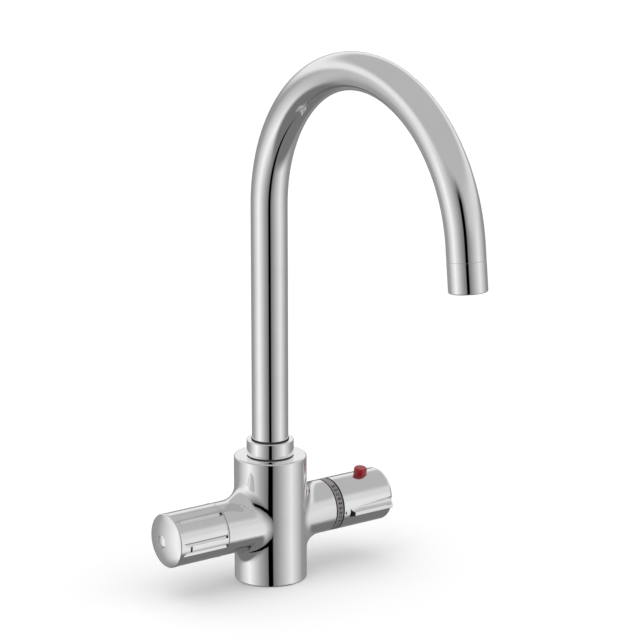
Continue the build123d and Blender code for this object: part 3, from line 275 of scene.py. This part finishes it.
# Painted shade: dark ink laid on the floor of the groove along each edge of the scale ring, darkening it as shade in
# the groove would. It stops just short of a full turn, at the bottom.
GROOVE_WIDTH = 0.9 * MM
GROOVE_DEPTH = 0.5 * MM
GROOVE_FACES = 120
GROOVE_SHARE = 0.9995
GROOVE_HALF = GROOVE_SHARE * math.pi * ARM_RADIUS
groove_steps = [GROOVE_HALF * (2 * step / GROOVE_FACES - 1) for step in range(GROOVE_FACES + 1)]
for side, start in (("inner", RING_START), ("outer", RING_START + RING_WIDTH - GROOVE_WIDTH)):
    groove_shade = bmesh.new()
    rows = [
        [groove_shade.verts.new((x, around, 0)) for x in (start, start + GROOVE_WIDTH)]
        for around in groove_steps
    ]
    for first, second in zip(rows, rows[1:]):
        groove_shade.faces.new((first[0], first[1], second[1], second[0]))
    floor_radius = ARM_RADIUS - GROOVE_DEPTH
    # These ink strips are painted shade in the grooves, not print.
    printed(f"scale_{side}_line", groove_shade, floor_radius, INK_THICKNESS, "body", materials["ink"])


def patch(corners):
    """One flat face through these points."""
    made = bmesh.new()
    made.faces.new([made.verts.new((x, y, 0)) for x, y in corners])
    return made


# A bar on the flow handle's rib, and a triangle at the end of the knob's pointer.
FLOW_HANDLE_RADIUS = 18.6 * MM
BAR_PLACE = -78 * MM
BAR_ANGLE = math.radians(98.5)
BAR_HALF_WIDTH = 0.8 * MM
BAR_HALF_LENGTH = 2.0 * MM
BAR_CORNERS = ((-1, -1), (1, -1), (1, 1), (-1, 1))
bar_middle = BAR_ANGLE * FLOW_HANDLE_RADIUS
printed(
    "flow_index_mark",
    patch([(BAR_PLACE + a * BAR_HALF_WIDTH, bar_middle + b * BAR_HALF_LENGTH) for a, b in BAR_CORNERS]),
    FLOW_HANDLE_RADIUS, MARK_THICKNESS, "flow_control", materials["ink"],
)
KNOB_RADIUS = 18.4 * MM
TRIANGLE_TIP = 50.9 * MM
TRIANGLE_BACK = 52.4 * MM
TRIANGLE_ANGLE = math.radians(97.8)
TRIANGLE_HALF = 1.5 * MM
tip = TRIANGLE_ANGLE * KNOB_RADIUS
printed(
    "pointer_triangle",
    patch([(TRIANGLE_TIP, tip), (TRIANGLE_BACK, tip - TRIANGLE_HALF), (TRIANGLE_BACK, tip + TRIANGLE_HALF)]),
    KNOB_RADIUS, MARK_THICKNESS, "temperature_control", materials["ink"],
)


# Springs: each is copied onto its own mesh and attached to the body that holds it, and the CAD spring is hidden.
BUTTON_AXIS = Vector((0, -0.163326, 0.986572))
LIFT_AXIS = Vector((0, 0, 1))
ARM_AXIS = Vector((1, 0, 0))
BUTTON_TRAVEL = 1.5 * MM
SHUTTLE_TRAVEL = 0.722 * MM
CHECK_TRAVEL = 2 * MM
for name, body, joint, travel, axis, fixed_end in (
    ("button_spring", "temperature_control", "override_press", BUTTON_TRAVEL, BUTTON_AXIS, min),
    ("return_spring", "body", "thermostat_travel", SHUTTLE_TRAVEL, ARM_AXIS, min),
    ("hot_check_spring", "body", "hot_check_lift", CHECK_TRAVEL, LIFT_AXIS, max),
    ("cold_check_spring", "body", "cold_check_lift", CHECK_TRAVEL, LIFT_AXIS, max),
):
    coil = bpy.data.objects.new(f"{name}_coil", nodes[name].data.copy())
    scene.collection.objects.link(coil)
    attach(coil, body)
    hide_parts(name)
    along = [axis.dot(v.co) for v in coil.data.vertices]
    axis * fixed_end(along)
    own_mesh(coil)


# Stage: a pale floor, a light tent that only reflections see, and soft lamps.
def stage_object(name, made, material):
    mesh = bpy.data.meshes.new(name)
    made.to_mesh(mesh)
    made.free()
    mesh.materials.append(material)
    placed = bpy.data.objects.new(name, mesh)
    scene.collection.objects.link(placed)
    return placed


FLOOR_HALF = 12
FLOOR_COLOUR = (0.98, 0.98, 0.98, 1)
FLOOR_ROUGHNESS = 0.9
floor_look = Nodes("floor")
floor_look.shader.inputs["Base Color"].default_value = FLOOR_COLOUR
floor_look.shader.inputs["Roughness"].default_value = FLOOR_ROUGHNESS
floor_look.shader.inputs["Specular IOR Level"].default_value = 0
floor_mesh = bmesh.new()
bmesh.ops.create_grid(floor_mesh, x_segments=1, y_segments=1, size=FLOOR_HALF)
floor = stage_object("floor", floor_mesh, floor_look.material)
floor.visible_glossy = False

# The tent has two soft side panels, a dark gap between them for the camera, a dim ground and a pale ceiling. Levels go
# by the angle from the camera's side, in degrees. A band takes over from the one below it between two heights, given
# as shares of the tent's radius.
CAMERA_GAP = ((-7, 0.2), (-6, 0), (8, 0), (9, 0.2))
GROUND_LEVELS = ((-180, 0.2), *CAMERA_GAP, (180, 0.2))
CLOTH_BANDS = (
    ((-0.75, -0.55), (
        (-180, 0.25), (-120, 0.4), (-70, 1.1), (-30, 0.45), *CAMERA_GAP, (30, 0.45), (70, 0.95), (120, 0.35),
        (180, 0.25),
    )),
    ((0.05, 0.3), ((-180, 0.95), (-70, 0.95), (-30, 0.5), *CAMERA_GAP, (30, 0.6), (70, 0.8), (180, 0.95))),
    ((0.4, 0.65), ((-180, 0.55), (180, 0.55))),
)
TENT_RADIUS = 4

tent_look = bpy.data.materials.new("light_tent")
tent_look.use_nodes = True
tent_tree = tent_look.node_tree
tent_tree.nodes.clear()


def tent_node(kind, **links):
    node = tent_tree.nodes.new(kind)
    for name, source in links.items():
        tent_tree.links.new(source, node.inputs[name])
    return node


def cloth_levels(angle, stops):
    """The level of one band of cloth at each angle round the tent."""
    ramp = tent_node("ShaderNodeValToRGB", Fac=angle)
    elements = ramp.color_ramp.elements
    elements[0].color = (stops[0][1],) * 3 + (1,)
    elements[1].color = (stops[-1][1],) * 3 + (1,)
    for degrees, level in stops[1:-1]:
        elements.new(0.5 + degrees / 360).color = (level, level, level, 1)
    return ramp.outputs["Color"]


place = tent_node("ShaderNodeTexCoord").outputs["Object"]
turned = tent_node("ShaderNodeMapping", Vector=place)
turned.inputs["Rotation"].default_value = (0, 0, math.pi / 2 - CAMERA_AZIMUTH)
around = tent_node("ShaderNodeTexGradient", Vector=turned.outputs["Vector"])
around.gradient_type = "RADIAL"
height = tent_node("ShaderNodeSeparateXYZ", Vector=place).outputs["Z"]
cloth = cloth_levels(around.outputs["Fac"], GROUND_LEVELS)
for limits, stops in CLOTH_BANDS:
    levels = cloth_levels(around.outputs["Fac"], stops)
    share = tent_node("ShaderNodeMapRange", Value=height)
    share.interpolation_type = "SMOOTHSTEP"
    share.inputs["From Min"].default_value = limits[0] * TENT_RADIUS
    share.inputs["From Max"].default_value = limits[1] * TENT_RADIUS
    mix = tent_node("ShaderNodeMix")
    mix.data_type = "RGBA"
    tent_tree.links.new(share.outputs["Result"], mix.inputs["Factor"])
    tent_tree.links.new(cloth, mix.inputs["A"])
    tent_tree.links.new(levels, mix.inputs["B"])
    cloth = mix.outputs["Result"]
glow = tent_node("ShaderNodeEmission", Color=cloth)
tent_node("ShaderNodeOutputMaterial", Surface=glow.outputs["Emission"])
tent_mesh = bmesh.new()
bmesh.ops.create_uvsphere(tent_mesh, u_segments=96, v_segments=48, radius=TENT_RADIUS)
tent = stage_object("light_tent", tent_mesh, tent_look)
tent.visible_camera = False
tent.visible_diffuse = False
tent.visible_transmission = False
tent.visible_volume_scatter = False
tent.visible_shadow = False


LAMP_SPREAD = math.radians(60)
SKY_STRENGTH = 0.62


def lamp(name, azimuth, elevation, strength):
    """A broad soft lamp far away, so that it lights the floor evenly."""
    data = bpy.data.lights.new(name, "SUN")
    data.angle = LAMP_SPREAD
    data.energy = strength
    made = bpy.data.objects.new(name, data)
    scene.collection.objects.link(made)
    turn = math.radians(azimuth)
    rise = math.radians(elevation)
    toward = Vector((math.sin(turn) * math.cos(rise), -math.cos(turn) * math.cos(rise), math.sin(rise)))
    made.rotation_euler = (-toward).to_track_quat("-Z", "Y").to_euler()
    made.visible_glossy = False


lamp("key_lamp", azimuth=-75, elevation=55, strength=0.8)
lamp("fill_lamp", azimuth=40, elevation=50, strength=0.55)
lamp("back_lamp", azimuth=170, elevation=60, strength=0.4)

world = bpy.data.worlds.new("world")
world.use_nodes = True
scene.world = world
sky = world.node_tree.nodes["Background"]
sky.inputs["Color"].default_value = (1, 1, 1, 1)
sky.inputs["Strength"].default_value = SKY_STRENGTH
